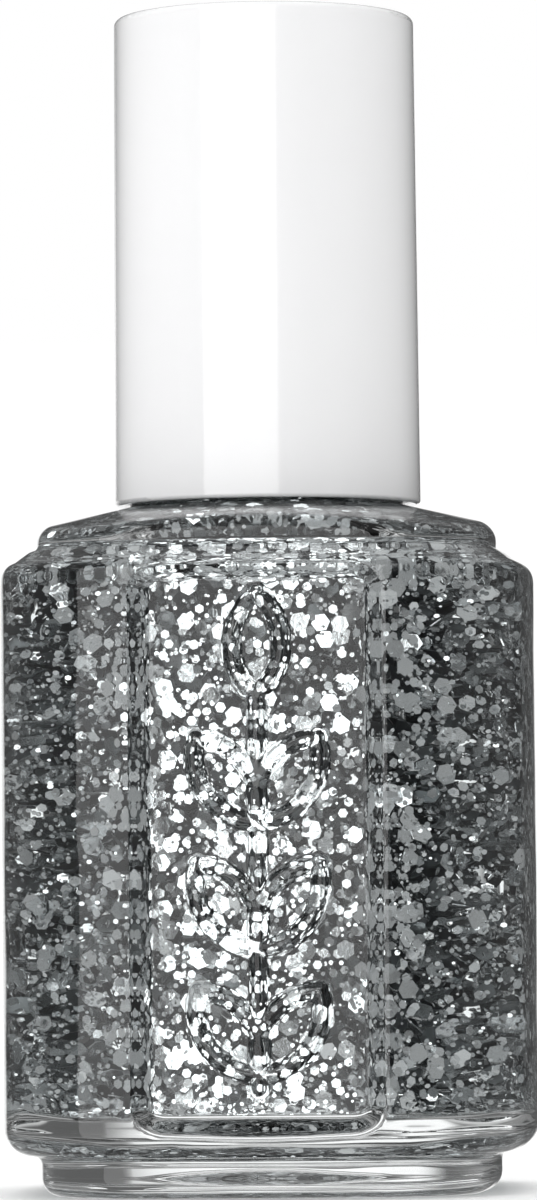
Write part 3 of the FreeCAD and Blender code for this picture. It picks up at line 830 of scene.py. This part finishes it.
def surroundings():
    """Dark studio all round, white behind the bottle, grey to the left and below."""
    world = bpy.data.worlds.new("studio")
    world.use_nodes = True
    tree = world.node_tree
    tree.nodes.clear()

    def math_node(operation, *inputs):
        node = tree.nodes.new("ShaderNodeMath")
        node.operation = operation
        for i, value in enumerate(inputs):
            if isinstance(value, float):
                node.inputs[i].default_value = value
            else:
                tree.links.new(value, node.inputs[i])
        return node.outputs[0]

    def zone(value, start, end, level):
        node = tree.nodes.new("ShaderNodeMapRange")
        node.interpolation_type = "SMOOTHSTEP"
        node.inputs["From Min"].default_value, node.inputs["From Max"].default_value = start, end
        node.inputs["To Max"].default_value = level
        tree.links.new(value, node.inputs["Value"])
        return node.outputs[0]

    place = tree.nodes.new("ShaderNodeTexCoord")
    split = tree.nodes.new("ShaderNodeSeparateXYZ")
    tree.links.new(place.outputs["Generated"], split.inputs["Vector"])
    x, y, z = split.outputs
    level = zone(y, *BEHIND_ZONE)
    for value, numbers in ((x, BEHIND_RIGHT_EDGE), (z, BEHIND_TOP_EDGE)):
        level = math_node("MULTIPLY", level, zone(value, *numbers))
    for value, numbers in ((x, LEFT_ZONE), (x, RIGHT_ZONE), (z, BELOW_ZONE), (z, ABOVE_ZONE)):
        level = math_node("MAXIMUM", level, zone(value, *numbers))
    level = math_node("ADD", level, AMBIENT)
    path = tree.nodes.new("ShaderNodeLightPath")
    level = math_node("MAXIMUM", level, path.outputs["Is Camera Ray"])
    light = tree.nodes.new("ShaderNodeBackground")
    tree.links.new(level, light.inputs["Color"])
    output = tree.nodes.new("ShaderNodeOutputWorld")
    tree.links.new(light.outputs["Background"], output.inputs["Surface"])
    bpy.context.scene.world = world


def studio():
    bpy.context.scene.view_settings.view_transform = "Standard"
    surroundings()
    aim = (0, 0, 0.035)
    area_light("key", polar(-20, 1.0, 0.16), aim, 1.08, 1.5, 8.8)
    fills = [area_light("front_fill", polar(4, 1.3, 0.06), aim, 1.2, 1.2, 6.0),
             area_light("left_fill", polar(-105, 1.2, 0.35), aim, 0.8, 1.2, 4.2),
             area_light("right_fill", polar(105, 1.2, 0.35), aim, 0.8, 1.2, 1.8),
             area_light("top", (0, 0.2, 1.35), (0, 0.1, 0), 1.6, 1.6, 18),
             area_light("back_fill", (0, 1.2, 0.6), aim, 2.0, 1.0, 10)]
    for lamp in fills:
        lamp.visible_glossy = False
        lamp.visible_transmission = False


# ==== assembly ==============================================================================

glass = glass_material("bottle_glass", 1.52)
wetted = glass_material("glass_on_lacquer", 1.035)
white = plastic_material("cap_white", (0.785, 0.785, 0.789), (0.760, 0.760, 0.768), 0.16, 1.0, 2600.0)

glass_bottle(glass, wetted)
lacquer(lacquer_wall_material(), lacquer_surface_material())
flake = flake_material()
# Each group of flakes: its places, how far the flakes tilt, and the range of their shades.
# The darkest range is painted shade, given to the deep flakes for light lost in the lacquer.
BRIGHT, MIXED, TONE_AND_PAINTED_SHADE_BESIDE, PAINTED_DEEP_SHADE = (0.55, 1.0), (0.3, 1.0), (0.2, 0.95), (0.05, 0.26)
# How likely a flake is behind a panel, and beside one.
PANELS, BESIDE, ALL_ROUND = (1.0, 0.0), (0.0, 1.0), (1.0, 1.0)
# The ring of flakes under the shoulder: its share, low and high ends, and lean.
COLLAR = (ALL_ROUND, CAVITY_ROOF_Z - 2.8, CAVITY_ROOF_Z - 0.3, 0.35)
# Beside the panels the flakes take a range that reaches lower: partly random tone, partly painted shade for
# side walls that face away from the key light.
flakes("glitter_large", 1.12, [
    (wall_places(355, 0.5, PANELS), 0.09, BRIGHT), (wall_places(180, 1.8, PANELS), 0.4, MIXED),
    (wall_places(300, 0.5, BESIDE), 0.2, TONE_AND_PAINTED_SHADE_BESIDE), (wall_places(110, 1.8, BESIDE), 0.4, TONE_AND_PAINTED_SHADE_BESIDE),
    (floor_places(460), 0.25, BRIGHT), (deep_places(3600), 0.0, PAINTED_DEEP_SHADE), (funnel_places(300), 0.3, MIXED),
    (wall_places(100, 0.5, *COLLAR), 0.15, BRIGHT),
], flake)
flakes("glitter_medium", 0.57, [
    (wall_places(1440, 0.5, PANELS), 0.11, BRIGHT), (wall_places(500, 1.6, PANELS), 0.6, MIXED),
    (wall_places(1050, 0.5, BESIDE), 0.25, TONE_AND_PAINTED_SHADE_BESIDE), (wall_places(370, 1.6, BESIDE), 0.6, TONE_AND_PAINTED_SHADE_BESIDE),
    (floor_places(1100), 0.3, BRIGHT), (deep_places(1500), 0.0, PAINTED_DEEP_SHADE), (funnel_places(1000), 0.3, MIXED),
    (wall_places(400, 0.4, *COLLAR), 0.2, BRIGHT),
], flake)
flakes("glitter_small", 0.29, [
    (wall_places(2000, 0.4, PANELS), 0.15, BRIGHT), (wall_places(980, 0.5, PANELS), 2.0, BRIGHT),
    (wall_places(3200, 0.4, BESIDE), 0.3, TONE_AND_PAINTED_SHADE_BESIDE), (wall_places(2250, 0.5, BESIDE), 2.0, BRIGHT),
    (floor_places(700), 0.4, BRIGHT), (funnel_places(700), 0.5, MIXED),
], flake)
flakes("glitter_dust", 0.17, [
    (wall_places(2000, 0.3, PANELS), 0.18, BRIGHT), (wall_places(1400, 0.3, PANELS), 2.0, BRIGHT),
    (wall_places(2750, 0.3, BESIDE), 0.3, TONE_AND_PAINTED_SHADE_BESIDE), (wall_places(3450, 0.3, BESIDE), 2.0, BRIGHT),
    (funnel_places(300), 1.0, BRIGHT),
], flake)
bristle_tuft(bristle_material())

finish_node("outer_cap", white)
finish_node("inner_cap", plastic_material("inner_cap", (0.80, 0.80, 0.80), (0.74, 0.74, 0.745),
                                          0.35, 0.1, 3000.0))
finish_node("liner_foam", foam_material())
finish_node("liner_film", film_material())
finish_node("brush_stem", plastic_material("stem", (0.82, 0.82, 0.82), (0.76, 0.77, 0.77),
                                           0.22, 0.3, 2400.0))
finish_node("bristle_staple", metal_material("staple", (0.85, 0.72, 0.42), (0.68, 0.55, 0.3), 0.25))
steel = metal_material("ball_steel", (0.78, 0.78, 0.79), (0.6, 0.6, 0.62), 0.12)
finish_node("mixing_ball_front", steel)
finish_node("mixing_ball_back", steel)

studio_floor()
studio()
camera()
